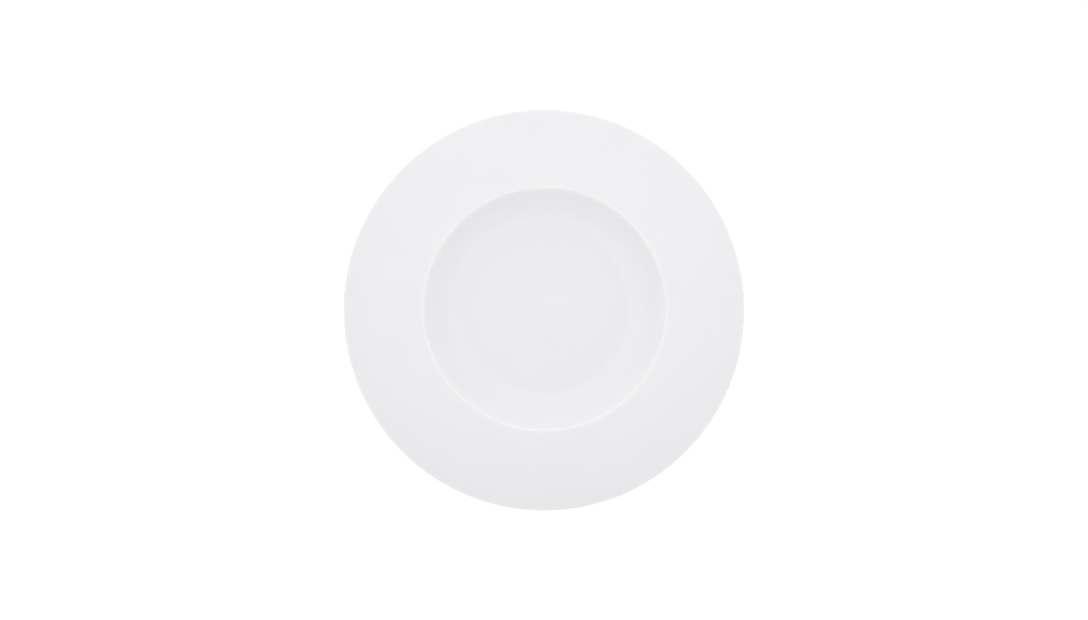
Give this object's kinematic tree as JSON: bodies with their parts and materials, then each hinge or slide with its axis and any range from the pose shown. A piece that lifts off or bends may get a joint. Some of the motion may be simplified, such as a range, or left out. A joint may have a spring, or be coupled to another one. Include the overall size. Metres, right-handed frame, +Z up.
{
  "type": "pasta plate",
  "caption": "Deep round plate of glazed white porcelain with a wide, nearly level rim, on a foot ring with a bare bearing face, for serving pasta.",
  "frame": {"origin": "on the table, under the centre of the plate", "axes": "+Z up along the plate's axis; the plate is round, so +X and +Y are free, and +Y is the top of the picture"},
  "size_m": [0.3, 0.3, 0.037],
  "materials": {
    "bare_porcelain": "fired without glaze and ground smooth at the foot, matt",
    "glazed_porcelain": "clear glaze over white clay, glossy"
  },
  "bodies": {
    "root": {"porcelain_body": "bare_porcelain", "glaze_coat": "glazed_porcelain", "foot_recess_glaze": "glazed_porcelain"}
  },
  "joints": []
}
